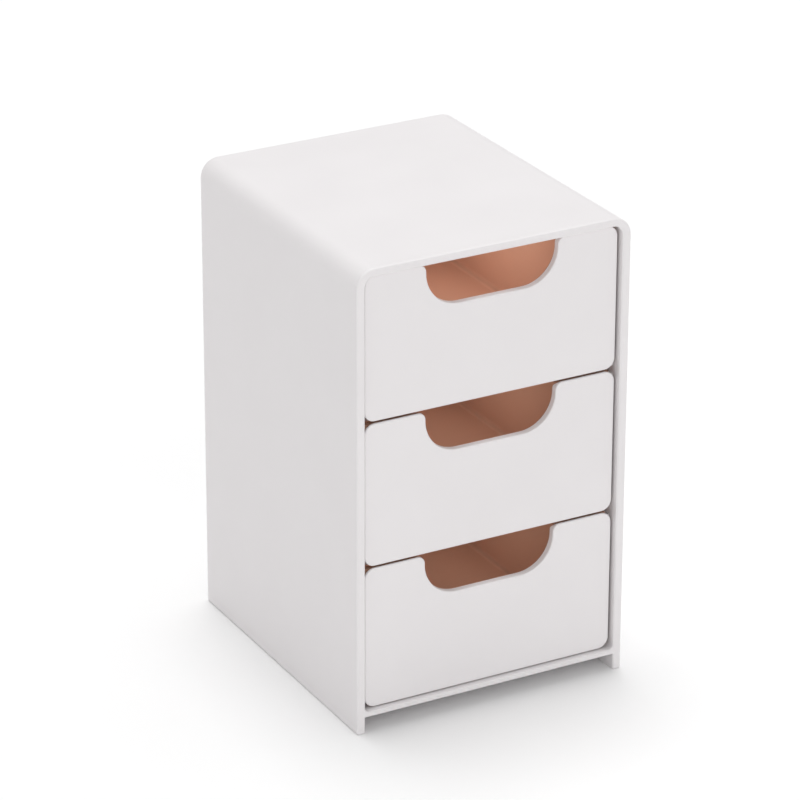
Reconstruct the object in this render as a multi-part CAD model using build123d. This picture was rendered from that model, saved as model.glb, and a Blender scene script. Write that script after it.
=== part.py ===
from build123d import *
import math
import os

# A small free-standing storage box with three push-in drawers, in millimetres.
# X is the width, Y the depth with the drawers facing -Y, and Z is up.
# The origin is on the floor, under the middle of the casing.

# Casing: one moulding that narrows to the back, whose side walls run down as skid feet
casing_width = 80.0
casing_depth = 90.0
casing_height = 130.0
casing_draft = 0.7
side_wall = 2.4
top_wall = 2.2
back_wall = 2.4
base_thickness = 1.5
foot_height = 4.6
top_edge_radius = 5.2
back_edge_radius = 1.8
base_corner_radius = 1.3
foot_edge_round = 0.7
rim_outer_round = 0.5
rim_inner_bevel = 0.3

# Shelves: flat plates, each held between a ledge and a keeper rib on both side walls
shelf_thickness = 2.0
shelf_side_gap = 0.15
shelf_back_gap = 0.2
shelf_front_gap = 3.4
shelf_edge_round = 0.6
rib_front_gap = 0.4
ledge_reach = 1.0
ledge_height = 1.2
keeper_reach = 0.8
keeper_height = 0.8
keeper_gap = 0.1

# Drawer fronts: inset face plates with a finger notch in the top edge
drawers = ("bottom", "middle", "top")
front_recess = 1.6
front_thickness = 1.8
front_gap = 0.7
front_corner_radius = 3.0
front_edge_bevel = 0.2
front_back_bevel = 1.2
notch_width = 38.4
notch_depth = 12.2
notch_lip_radius = 2.1
notch_side_straight = 0.4

# Drawer tubs: open trays whose front wall takes four lugs on the back of the face plate
tub_wall = 1.5
tub_floor = 2.0
tub_side_gap = 0.5
tub_back_gap = 1.0
tub_head_gap = 0.6
tub_run_gap = 0.2
tub_draft = 1.0
tub_bottom_radius = 3.0
tub_end_radius = 2.5
tub_rim_bevel = 0.3
tub_notch_gap = 1.0
tub_front_drop = 0.65
lug_width = 5.0
lug_height = 2.0
lug_gap = 0.05
lug_side_inset = 9.0
lug_floor_inset = 6.0
lug_rim_inset = 7.5

# Stops: ramps under each drawer ride in two grooves and end its travel
stop_inset = 13.6
stop_setback = 6.9
stop_length = 4.0
stop_top_length = 1.6
stop_width = 3.0
stop_height = 0.6
groove_depth = 0.9
groove_gap = 0.5
groove_end_gap = 0.1
drawer_overlap = 21.2

# Planes and levels that several pieces share
front_y = -casing_depth / 2
back_y = casing_depth / 2
inside_half = casing_width / 2 - side_wall
inside_back_y = back_y - back_wall
base_top = foot_height + base_thickness
ceiling = casing_height - top_wall
pitch = (ceiling - base_top) / len(drawers)
shelf_levels = [base_top + pitch * step for step in range(1, len(drawers))]
opening_radius = top_edge_radius - side_wall
tub_front_y = front_y + front_recess + front_thickness
rib_front_y = tub_front_y + rib_front_gap
shelf_front_y = tub_front_y + shelf_front_gap


def wall_half(y):
    """Half the width between the side walls, which lean in towards the back."""
    return inside_half - (y - front_y) * math.tan(math.radians(casing_draft))


# Drawer sizes, with heights above the surface that the drawer runs on
front_width = 2 * (inside_half - front_gap)
front_low = front_gap / 2
front_high = pitch - front_gap / 2
notch_floor = front_high - notch_depth
notch_corner_radius = notch_depth - notch_lip_radius - notch_side_straight
tub_back_y = inside_back_y - tub_back_gap
tub_rim_half = wall_half(tub_back_y) - tub_side_gap
tub_rim = pitch - shelf_thickness - ledge_height - tub_head_gap
tub_front_top = front_high - tub_front_drop
lug_half_spacing = tub_rim_half - lug_side_inset
lug_levels = (tub_run_gap + tub_floor + lug_floor_inset, tub_rim - lug_rim_inset)
stop_half_spacing = inside_half - stop_inset
stop_y = shelf_front_y + stop_setback
drawer_travel = tub_back_y - tub_front_y - drawer_overlap


def upright(profile, y_from, y_to):
    """The solid of an (x, z) profile, drawn from one depth to another."""
    placed = Plane.XZ.offset(-y_from) * profile
    return extrude(placed, amount=y_from - y_to)


def slab(x_from, x_to, z_from, z_to):
    """A rectangular (x, z) profile between two widths and two heights."""
    centre = Pos((x_from + x_to) / 2, (z_from + z_to) / 2)
    return centre * Rectangle(x_to - x_from, z_to - z_from)


def between_walls(inset, y_from, y_to, z_from, z_to):
    """A block that leans in with the side walls, set in from them on both sides."""
    near = wall_half(y_from) - inset
    far = wall_half(y_to) - inset
    plan = Polygon((-near, y_from), (near, y_from), (far, y_to), (-far, y_to), align=None)
    return extrude(Pos(0, 0, z_from) * plan, amount=z_to - z_from)


def side_edges(block, end):
    """The two edges along the sides of a block: 0 for its bottom ones, -1 for its top ones."""
    return block.edges().group_by(Axis.Z)[end].filter_by(Axis.X, reverse=True)


def stop_ramps(level):
    """Two low ramps on a running surface, steep at the back, one near each side."""
    low_y = stop_y - stop_length
    top_y = stop_y - stop_top_length
    top = level + stop_height
    side_view = Polygon((low_y, level), (stop_y, level), (stop_y, top), (top_y, top), align=None)
    ramp = extrude(Plane.YZ * side_view, amount=stop_width / 2, both=True)
    return [Pos(side * stop_half_spacing, 0, 0) * ramp for side in (-1, 1)]


def casing_block():
    """The outside of the casing, rounded along its top, round its back and under its feet."""
    block = between_walls(-side_wall, front_y, back_y, 0, casing_height)
    block = fillet(side_edges(block, -1), top_edge_radius)
    back_edges = block.edges().group_by(Axis.Y)[-1].sort_by(Axis.Z)
    block = fillet(back_edges[1:], back_edge_radius)
    return fillet(side_edges(block, 0), foot_edge_round)


def drawer_bay():
    """The one tall hollow that the shelves divide."""
    bay = between_walls(0, front_y, inside_back_y, base_top, ceiling)
    bay = fillet(side_edges(bay, -1), opening_radius)
    return fillet(side_edges(bay, 0), base_corner_radius)


def wall_ribs(reach, z_from, z_to):
    """A rib along each side wall, standing out from it by its reach."""
    whole = between_walls(-side_wall / 2, rib_front_y, inside_back_y, z_from, z_to)
    return whole - between_walls(reach, rib_front_y, inside_back_y, z_from, z_to)


def shelf_ribs():
    """A ledge and a keeper on each side wall for every shelf."""
    ribs = []
    for level in shelf_levels:
        ledge_top = level - shelf_thickness
        keeper_low = level + keeper_gap
        ribs += wall_ribs(ledge_reach, ledge_top - ledge_height, ledge_top).solids()
        ribs += wall_ribs(keeper_reach, keeper_low, keeper_low + keeper_height).solids()
    return ribs


def finish_rim(body):
    """Rounds the outside of the front rim and breaks the edge of its opening."""
    face = body.faces().sort_by(Axis.Y)[0]
    body = fillet(face.outer_wire().edges(), rim_outer_round)
    face = body.faces().sort_by(Axis.Y)[0]
    return chamfer(face.inner_wires()[0].edges(), rim_inner_bevel)


def casing():
    foot_gap = between_walls(0, front_y, back_y, 0, foot_height)
    shell = casing_block() - drawer_bay() - foot_gap
    return finish_rim(shell) + shelf_ribs() + stop_ramps(base_top)


def shelf(level):
    """A plate from wall to wall, with a rounded front edge and its stop ramps."""
    plate_back_y = inside_back_y - shelf_back_gap
    plate = between_walls(shelf_side_gap, shelf_front_y, plate_back_y, level - shelf_thickness, level)
    front_edges = plate.edges().group_by(Axis.Y)[0].filter_by(Axis.X)
    return fillet(front_edges, shelf_edge_round) + stop_ramps(level)


def notch_bowl(gap):
    """The finger notch without its lips, opened out all round by a gap."""
    half = notch_width / 2 + gap
    bowl = slab(-half, half, notch_floor - gap, pitch)
    return fillet(bowl.vertices().group_by(Axis.Y)[0], notch_corner_radius + gap)


def notch_lips():
    """The two flares where the sides of the notch run out into the top edge of the face plate."""
    start = notch_width / 2
    end = start + notch_lip_radius
    low = front_high - notch_lip_radius
    square = slab(start, end, low, front_high)
    lip = square - Pos(end, low) * Circle(notch_lip_radius)
    return [lip, mirror(lip, about=Plane.YZ)]


def lugs(gap):
    """Four flat lugs through the front wall of the tub, or with a gap the slots that take them."""
    half_width = lug_width / 2 + gap
    half_height = lug_height / 2 + gap
    solids = []
    for z in lug_levels:
        for x in (-lug_half_spacing, lug_half_spacing):
            profile = slab(x - half_width, x + half_width, z - half_height, z + half_height)
            solids.append(upright(profile, tub_front_y, tub_front_y + tub_wall))
    return solids


def drawer_front():
    """A plate with a bevelled back, so that its rim is thinner than the edge of its notch."""
    outline = slab(-front_width / 2, front_width / 2, front_low, front_high)
    plate = upright(fillet(outline.vertices(), front_corner_radius), front_y + front_recess, tub_front_y)
    back = plate.faces().sort_by(Axis.Y)[-1]
    plate = chamfer(back.edges(), front_back_bevel)
    notch = notch_bowl(0) + notch_lips()
    plate -= upright(notch, front_y + front_recess, tub_front_y)
    face = plate.faces().sort_by(Axis.Y)[0]
    return chamfer(face.edges(), front_edge_bevel) + lugs(0)


def tub_half(height):
    """Half the width of the tub, which narrows downwards by its draft."""
    return tub_rim_half - (tub_rim - height) * math.tan(math.radians(tub_draft))


def tub_block(inset, low, high, y_from, y_to, bottom_radius, rounded_ends):
    """A drafted block, rounded along its bottom edges and down the ends named."""
    low_half = tub_half(low) - inset
    high_half = tub_half(high) - inset
    corners = [(-low_half, low), (low_half, low), (high_half, high), (-high_half, high)]
    profile = Polygon(*corners, align=None)
    bottom_corners = profile.vertices().group_by(Axis.Y)[0]
    block = upright(fillet(bottom_corners, bottom_radius), y_from, y_to)
    ends = block.edges().group_by(Axis.Y)
    edges = [edge for end in rounded_ends for edge in ends[end].sort_by(Axis.Z)[:-1]]
    return fillet(edges, bottom_radius - tub_bottom_radius + tub_end_radius)


def stop_grooves():
    """Grooves under the tub, as long as the travel, for the stop ramps to ride in."""
    half = stop_width / 2 + groove_gap
    low_y = stop_y - stop_length - groove_gap
    high_y = stop_y + drawer_travel + groove_end_gap
    grooves = []
    for side in (-1, 1):
        middle = side * stop_half_spacing
        profile = slab(middle - half, middle + half, 0, tub_run_gap + groove_depth)
        grooves.append(upright(profile, low_y, high_y))
    return grooves


def tub_front_wall():
    """The front wall of the tub, which stands higher than its other walls."""
    low = tub_run_gap + tub_bottom_radius
    high = tub_front_top
    low_half = tub_half(low)
    high_half = tub_half(high)
    corners = [(-low_half, low), (low_half, low), (high_half, high), (-high_half, high)]
    return upright(Polygon(*corners, align=None), tub_front_y, tub_front_y + tub_wall)


def drawer_tub():
    outside = tub_block(0, tub_run_gap, tub_rim, tub_front_y, tub_back_y, tub_bottom_radius, (-1,))
    inside = tub_block(
        tub_wall,
        tub_run_gap + tub_floor,
        tub_rim + tub_rim_bevel,
        tub_front_y + tub_wall,
        tub_back_y - tub_wall,
        tub_bottom_radius - tub_wall,
        (0, -1),
    )
    tub = outside - inside
    tub = chamfer(tub.edges().group_by(Axis.Z)[-1], tub_rim_bevel)
    cut = upright(notch_bowl(tub_notch_gap), tub_front_y, tub_front_y + tub_wall)
    return tub + tub_front_wall() - cut - lugs(lug_gap) - stop_grooves()


def build():
    nodes = {"casing": casing()}
    for name, level in zip(("lower", "upper"), shelf_levels):
        nodes[name + "_shelf"] = shelf(level)
    front = drawer_front()
    tub = drawer_tub()
    for step, name in enumerate(drawers):
        place = Pos(0, 0, base_top + pitch * step)
        nodes[name + "_drawer_front"] = place * front
        nodes[name + "_drawer_tub"] = place * tub
    return nodes


os.makedirs("parts", exist_ok=True)
for name, solid in build().items():
    export_step(solid, "parts/" + name + ".step")
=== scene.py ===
import math

import bpy
from mathutils import Matrix, Vector


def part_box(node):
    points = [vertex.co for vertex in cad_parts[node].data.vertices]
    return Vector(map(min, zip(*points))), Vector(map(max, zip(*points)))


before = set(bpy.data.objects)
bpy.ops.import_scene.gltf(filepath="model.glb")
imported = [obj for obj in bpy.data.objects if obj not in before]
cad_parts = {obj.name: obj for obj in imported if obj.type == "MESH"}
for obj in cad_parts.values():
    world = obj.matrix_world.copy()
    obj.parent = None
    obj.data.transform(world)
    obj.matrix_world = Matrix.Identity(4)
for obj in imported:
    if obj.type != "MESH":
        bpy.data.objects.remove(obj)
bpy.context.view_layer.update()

MM = 0.001

BLACK = (0.0, 0.0, 0.0)
PURE_WHITE = (1.0, 1.0, 1.0)

# Camera, as the photograph was taken: a long lens from the front left, looking down.
# Turns are in degrees, and the lens and its sensor in millimetres.
CAMERA_AZIMUTH = -28.954
CAMERA_ELEVATION = 23.938
CAMERA_ROLL = 0.141
CAMERA_DISTANCE = 1146.974 * MM
CAMERA_TARGET = Vector((-5.239, -4.574, 72.281)) * MM
CAMERA_LENS = 195.651
CAMERA_SENSOR = 36.0

# Light: a white room and three broad lamps, each with its strength, its spread and its turn from overhead
ROOM_LIGHT = 0.497
LAMPS = {
    "key": (0.311, 29.0, (-11.8, 0.0, 0.0)),
    "side": (0.160, 60.0, (-8.0, 20.0, 0.0)),
    "front": (0.272, 90.0, (80.0, 0.0, -10.0)),
}

# Light that the thin white walls let into each drawer bay: power of each of its two lamps, in watts
BAY_LAMP_POWERS = {"bottom": 0.0034, "middle": 0.0043, "top": 0.0075}
BAY_LAMP_SIDES = {"_left": -1.0, "_right": 1.0}
# The two lamps hang back to back under the roof of the bay: place from its middle, height over the
# underside of its tub, tilt to the side wall and size
BAY_LAMP_X = 9.0 * MM
BAY_LAMP_Y = 9.0 * MM
BAY_LAMP_HEIGHT = 30.8 * MM
BAY_LAMP_TILT = 50.0
BAY_LAMP_WIDTH = 8.0 * MM
BAY_LAMP_LENGTH = 48.0 * MM
# A third, weaker lamp hangs over the lip of the notch: place behind the face of the front, height over the
# underside of the tub, size and power
LIP_LAMP_SETBACK = 1.7 * MM
LIP_LAMP_HEIGHT = 36.8 * MM
LIP_LAMP_WIDTH = 16.0 * MM
LIP_LAMP_LENGTH = 2.0 * MM
LIP_LAMP_POWER = 0.00024

# Floor: a square, in the colour that it throws back on the box and the colour that it shows
FLOOR_SIZE = 6.0
FLOOR_COLOUR = (0.90, 0.895, 0.895)
FLOOR_SEEN_COLOUR = PURE_WHITE

# Plastics: the tone of each drifts between a colour and its shade, and the tubs get painted shade in their
# rounded inside corners
WHITE = (0.884, 0.859, 0.865)
WHITE_SHADE = (0.869, 0.843, 0.849)
WHITE_ROUGHNESS = 0.42
TUB = (0.604, 0.347, 0.242)
TUB_SHADE = (0.574, 0.327, 0.227)
# Painted shade for the rounded inside corners of the tubs
TUB_PAINTED_CORNER_SHADE = (0.493, 0.282, 0.196)
TUB_ROUGHNESS = 0.45
PLASTIC_IOR = 1.5

# Slow drift in tone and gloss, and fine moulded grain: waves in a metre, fineness and depth
DRIFT_SCALE = 45.0
DRIFT_DETAIL = 2.0
ROUGHNESS_DRIFT = 0.03
GRAIN_SCALE = 4200.0
GRAIN_DETAIL = 3.0
GRAIN_DEPTH = 0.012 * MM
# Nearly all of a noise lies between these two values
NOISE_LOW = 0.3
NOISE_HIGH = 0.7

# Upward share of the direction that a face points in, halfway round from a wall to the floor
HALF_UPRIGHT = math.sqrt(0.5)

# Sockets of the Mix node when it mixes colours
MIX_FACTOR = 0
MIX_FIRST = 6
MIX_SECOND = 7
MIX_RESULT = 2


def opaque(colour):
    return (*colour, 1.0)


def new_material(name):
    material = bpy.data.materials.new(name)
    material.use_nodes = True
    return material, material.node_tree


def noise(tree, coords, scale, detail):
    node = tree.nodes.new("ShaderNodeTexNoise")
    node.inputs["Scale"].default_value = scale
    node.inputs["Detail"].default_value = detail
    tree.links.new(coords, node.inputs["Vector"])
    return node.outputs["Fac"]


def drifting_colour(tree, value, low, high):
    """The colour low where the noise is low, and high where it is high."""
    node = tree.nodes.new("ShaderNodeValToRGB")
    low_end, high_end = node.color_ramp.elements
    low_end.position = NOISE_LOW
    low_end.color = opaque(low)
    high_end.position = NOISE_HIGH
    high_end.color = opaque(high)
    tree.links.new(value, node.inputs["Fac"])
    return node.outputs["Color"]


def drifting_value(tree, value, low, high):
    """The number low where the noise is low, and high where it is high."""
    node = tree.nodes.new("ShaderNodeMapRange")
    node.inputs["From Min"].default_value = NOISE_LOW
    node.inputs["From Max"].default_value = NOISE_HIGH
    node.inputs["To Min"].default_value = low
    node.inputs["To Max"].default_value = high
    tree.links.new(value, node.inputs["Value"])
    return node.outputs["Result"]


def bump(tree, height, distance):
    node = tree.nodes.new("ShaderNodeBump")
    node.inputs["Strength"].default_value = 1.0
    node.inputs["Distance"].default_value = distance
    tree.links.new(height, node.inputs["Height"])
    return node.outputs["Normal"]


def paint_corner_shade(tree, colour, painted_corner_shade):
    """Painted shade: a darker colour in the rounded corners between floor and walls, darkest halfway round,
    which evens out the lighter band that the lamps leave on the rounding.
    """
    normal = tree.nodes.new("ShaderNodeNewGeometry").outputs["Normal"]
    parts = tree.nodes.new("ShaderNodeSeparateXYZ")
    tree.links.new(normal, parts.inputs["Vector"])
    painted_shade_mask = tree.nodes.new("ShaderNodeValToRGB")
    painted_shade_mask.color_ramp.interpolation = "EASE"
    wall, floor = painted_shade_mask.color_ramp.elements
    wall.color = opaque(BLACK)
    floor.color = opaque(BLACK)
    painted_shade_mask.color_ramp.elements.new(HALF_UPRIGHT).color = opaque(PURE_WHITE)
    tree.links.new(parts.outputs["Z"], painted_shade_mask.inputs["Fac"])
    mix = tree.nodes.new("ShaderNodeMix")
    mix.data_type = "RGBA"
    tree.links.new(painted_shade_mask.outputs["Color"], mix.inputs[MIX_FACTOR])
    tree.links.new(colour, mix.inputs[MIX_FIRST])
    mix.inputs[MIX_SECOND].default_value = opaque(painted_corner_shade)
    return mix.outputs[MIX_RESULT]


def moulded_plastic(name, colour, shade, roughness, painted_corner_shade=None):
    """Satin moulded plastic: a fine spark-eroded texture and a slow drift in tone and gloss, with painted
    shade in the inside corners when a corner colour is given.
    """
    material, tree = new_material(name)
    shader = tree.nodes["Principled BSDF"]
    coords = tree.nodes.new("ShaderNodeTexCoord").outputs["Object"]
    drift = noise(tree, coords, DRIFT_SCALE, DRIFT_DETAIL)
    grain = noise(tree, coords, GRAIN_SCALE, GRAIN_DETAIL)
    tone = drifting_colour(tree, drift, shade, colour)
    # Painted shade in the rounded inside corners, darkest halfway round
    if painted_corner_shade:
        tone = paint_corner_shade(tree, tone, painted_corner_shade)
    gloss = drifting_value(tree, drift, roughness - ROUGHNESS_DRIFT, roughness + ROUGHNESS_DRIFT)
    tree.links.new(tone, shader.inputs["Base Color"])
    tree.links.new(gloss, shader.inputs["Roughness"])
    tree.links.new(bump(tree, grain, GRAIN_DEPTH), shader.inputs["Normal"])
    shader.inputs["IOR"].default_value = PLASTIC_IOR
    return material


def dress(node, material):
    for slot in node.material_slots:
        slot.material = material


def make_camera():
    azimuth = math.radians(CAMERA_AZIMUTH)
    elevation = math.radians(CAMERA_ELEVATION)
    back = Vector((
        math.sin(azimuth) * math.cos(elevation),
        -math.cos(azimuth) * math.cos(elevation),
        math.sin(elevation),
    ))
    data = bpy.data.cameras.new("camera")
    data.lens = CAMERA_LENS
    data.sensor_width = CAMERA_SENSOR
    camera = bpy.data.objects.new("camera", data)
    facing = (-back).to_track_quat("-Z", "Y").to_matrix().to_4x4()
    roll = Matrix.Rotation(math.radians(CAMERA_ROLL), 4, "Z")
    camera.matrix_world = Matrix.Translation(CAMERA_TARGET + back * CAMERA_DISTANCE) @ facing @ roll
    bpy.context.collection.objects.link(camera)
    bpy.context.scene.camera = camera


def make_world():
    world = bpy.data.worlds.new("room")
    bpy.context.scene.world = world
    world.use_nodes = True
    background = world.node_tree.nodes["Background"]
    background.inputs["Color"].default_value = opaque(PURE_WHITE)
    background.inputs["Strength"].default_value = ROOM_LIGHT


def make_lamp(name, strength, spread, turn):
    data = bpy.data.lights.new(name, "SUN")
    data.energy = strength * math.pi
    data.angle = math.radians(spread)
    lamp = bpy.data.objects.new(name, data)
    lamp.rotation_euler = [math.radians(angle) for angle in turn]
    bpy.context.collection.objects.link(lamp)


def make_hidden_lamp(name, width, length, power, place, tilt):
    """A lamp in a drawer bay, turned by its tilt from straight down, that isn't seen itself or in gloss."""
    data = bpy.data.lights.new(name, "AREA")
    data.shape = "RECTANGLE"
    data.size = width
    data.size_y = length
    data.energy = power
    lamp = bpy.data.objects.new(name, data)
    lamp.location = place
    lamp.rotation_euler = (0.0, math.radians(tilt), 0.0)
    lamp.visible_camera = False
    lamp.visible_glossy = False
    bpy.context.collection.objects.link(lamp)


def make_bay_lamps(bay, power):
    tub_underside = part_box(bay + "_drawer_tub")[0][2]
    for name, side in BAY_LAMP_SIDES.items():
        place = (side * BAY_LAMP_X, BAY_LAMP_Y, tub_underside + BAY_LAMP_HEIGHT)
        make_hidden_lamp(bay + name, BAY_LAMP_WIDTH, BAY_LAMP_LENGTH, power, place, -side * BAY_LAMP_TILT)
    front_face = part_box(bay + "_drawer_front")[0][1]
    place = (0.0, front_face + LIP_LAMP_SETBACK, tub_underside + LIP_LAMP_HEIGHT)
    make_hidden_lamp(bay + "_lip", LIP_LAMP_WIDTH, LIP_LAMP_LENGTH, LIP_LAMP_POWER, place, 0.0)


def seen_rays(tree):
    """1 for rays that show the floor, straight, in gloss or through something clear, and 0 for others."""
    path = tree.nodes.new("ShaderNodeLightPath")
    found = path.outputs["Is Camera Ray"]
    for kind in ("Is Glossy Ray", "Is Transmission Ray"):
        either = tree.nodes.new("ShaderNodeMath")
        either.operation = "MAXIMUM"
        tree.links.new(found, either.inputs[0])
        tree.links.new(path.outputs[kind], either.inputs[1])
        found = either.outputs["Value"]
    return found


def matt(tree, colour):
    node = tree.nodes.new("ShaderNodeBsdfDiffuse")
    node.inputs["Color"].default_value = opaque(colour)
    return node.outputs["BSDF"]


def floor_material():
    material, tree = new_material("floor")
    tree.nodes.remove(tree.nodes["Principled BSDF"])
    mix = tree.nodes.new("ShaderNodeMixShader")
    tree.links.new(seen_rays(tree), mix.inputs["Fac"])
    tree.links.new(matt(tree, FLOOR_COLOUR), mix.inputs[1])
    tree.links.new(matt(tree, FLOOR_SEEN_COLOUR), mix.inputs[2])
    tree.links.new(mix.outputs["Shader"], tree.nodes["Material Output"].inputs["Surface"])
    return material


def make_floor():
    mesh = bpy.data.meshes.new("floor")
    half = FLOOR_SIZE / 2
    corners = [(-half, -half, 0), (half, -half, 0), (half, half, 0), (-half, half, 0)]
    mesh.from_pydata(corners, [], [(0, 1, 2, 3)])
    mesh.materials.append(floor_material())
    floor = bpy.data.objects.new("floor", mesh)
    bpy.context.collection.objects.link(floor)


white = moulded_plastic("white_plastic", WHITE, WHITE_SHADE, WHITE_ROUGHNESS)
brown = moulded_plastic("tub_plastic", TUB, TUB_SHADE, TUB_ROUGHNESS, TUB_PAINTED_CORNER_SHADE)
for name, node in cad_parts.items():
    dress(node, brown if name.endswith("tub") else white)

make_camera()
make_world()
for name, lamp in LAMPS.items():
    make_lamp(name, *lamp)
for bay, power in BAY_LAMP_POWERS.items():
    make_bay_lamps(bay, power)
make_floor()
bpy.context.scene.view_settings.view_transform = "Standard"
